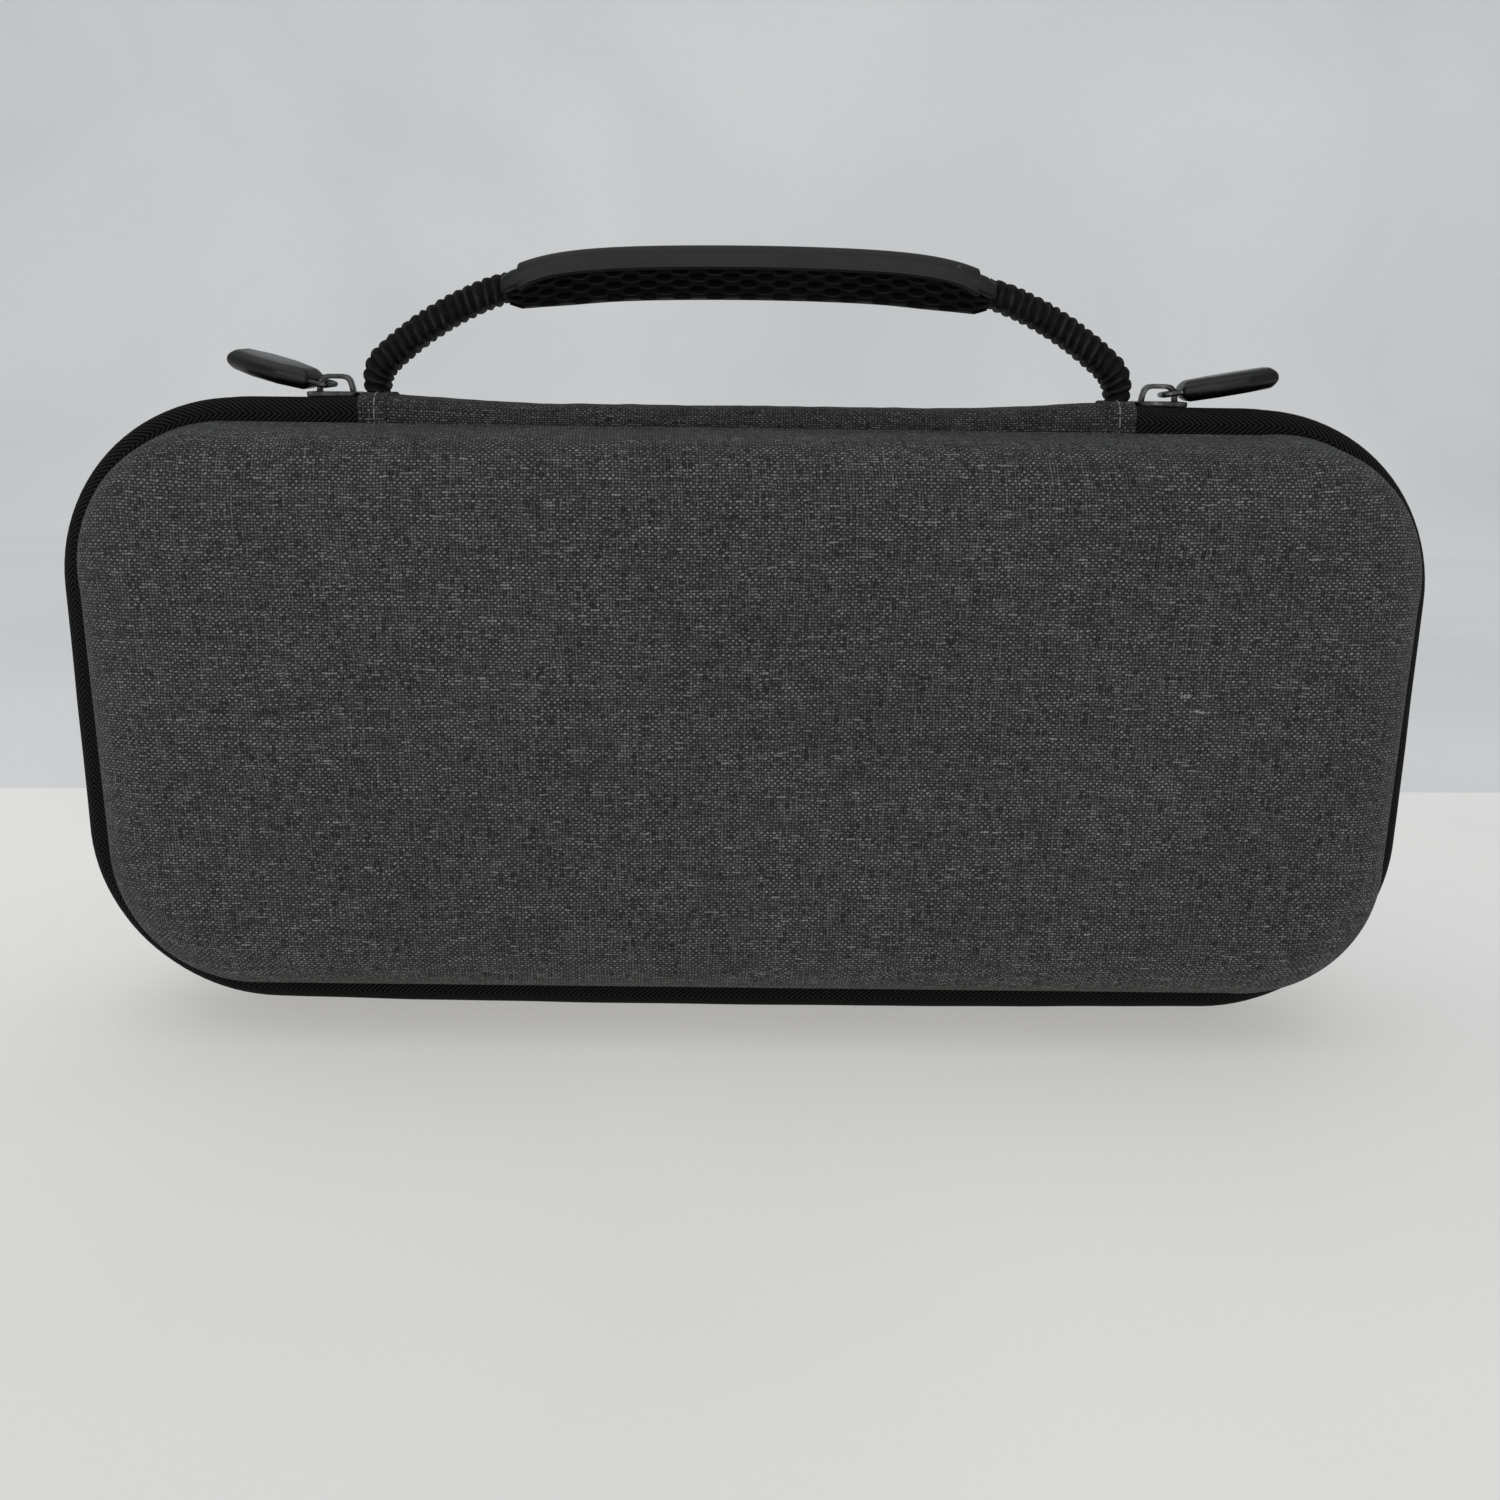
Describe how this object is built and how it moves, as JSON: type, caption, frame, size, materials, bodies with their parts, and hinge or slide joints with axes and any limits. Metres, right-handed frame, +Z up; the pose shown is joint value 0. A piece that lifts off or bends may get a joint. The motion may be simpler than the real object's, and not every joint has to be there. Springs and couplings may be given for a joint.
{
  "type": "miniature carry case",
  "caption": "Hard clamshell carry case with a cloth spine, two-way zip and strap handle, with foam pockets for tabletop miniatures.",
  "frame": {"origin": "bottom of the closed, standing case, midway along its width and depth", "axes": "+X along the width, +Z up to the handle, the lid faces -Y"},
  "size_m": [0.356, 0.072, 0.2031],
  "materials": {
    "shell_cloth": "matte",
    "lining_cloth": "matte",
    "binding_tape": "matte",
    "zip_tape": "matte",
    "zip_coil": "satin",
    "foam": "matte",
    "spine_cloth": "matte",
    "webbing": "matte",
    "strap_cloth": "matte",
    "grip_rubber": "matte",
    "slider_metal": "satin",
    "tab_rubber": "satin"
  },
  "bodies": {
    "base": {"back_shell": "shell_cloth", "back_lining": "lining_cloth", "back_binding": "binding_tape", "back_zip_tape": "zip_tape", "back_zip_coil": "zip_coil", "back_foam_pad": "foam", "back_foam_ends": "foam", "back_foam_rails": "foam", "back_foam_dividers": "foam"},
    "spine": {"spine_strip": "spine_cloth", "spine_cuff_left": "spine_cloth", "spine_cuff_right": "spine_cloth", "zip_tail_left": "zip_tape", "zip_tail_right": "zip_tape", "anchor_left": "webbing", "anchor_right": "webbing", "handle_webbing": "webbing", "strap_cover_left": "strap_cloth", "strap_cover_right": "strap_cloth", "handle_grip": "grip_rubber"},
    "lid": {"front_shell": "shell_cloth", "front_lining": "lining_cloth", "front_binding": "binding_tape", "front_zip_tape": "zip_tape", "front_zip_coil": "zip_coil", "front_foam_pad": "foam", "front_foam_ends": "foam", "front_foam_rails": "foam", "front_foam_dividers": "foam"},
    "zip_slider_left": {"slider_left": "slider_metal"},
    "zip_slider_right": {"slider_right": "slider_metal"},
    "zip_pull_left": {"pull_link_left": "slider_metal", "pull_tab_left": "tab_rubber"},
    "zip_pull_right": {"pull_link_right": "slider_metal", "pull_tab_right": "tab_rubber"}
  },
  "joints": [
    {"name": "spine_fold", "type": "hinge", "parent": "base", "child": "spine", "pos_m": [0, 0.01, 0.16], "axis": [-1, 0, 0], "range_deg": [0, 90]},
    {"name": "lid_fold", "type": "hinge", "parent": "spine", "child": "lid", "pos_m": [0, -0.01, 0.16], "axis": [-1, 0, 0], "range_deg": [0, 90]},
    {"name": "slider_left_run", "type": "slide", "parent": "spine", "child": "zip_slider_left", "axis": [-1, 0, 0], "range_m": [0, 0.0165]},
    {"name": "slider_right_run", "type": "slide", "parent": "spine", "child": "zip_slider_right", "axis": [1, 0, 0], "range_m": [0, 0.0165]},
    {"name": "pull_left_swing", "type": "hinge", "parent": "zip_slider_left", "child": "zip_pull_left", "pos_m": [-0.1074, 0, 0.1682], "axis": [0.3306, 0.9418, 0.061], "range_deg": [0, 60]},
    {"name": "pull_right_swing", "type": "hinge", "parent": "zip_slider_right", "child": "zip_pull_right", "pos_m": [0.1068, 0, 0.1682], "axis": [0, -1, 0], "range_deg": [0, 66]}
  ],
  "couplings": [
    {"joint": "spine_fold", "follows": "lid_fold", "ratio": 1}
  ]
}
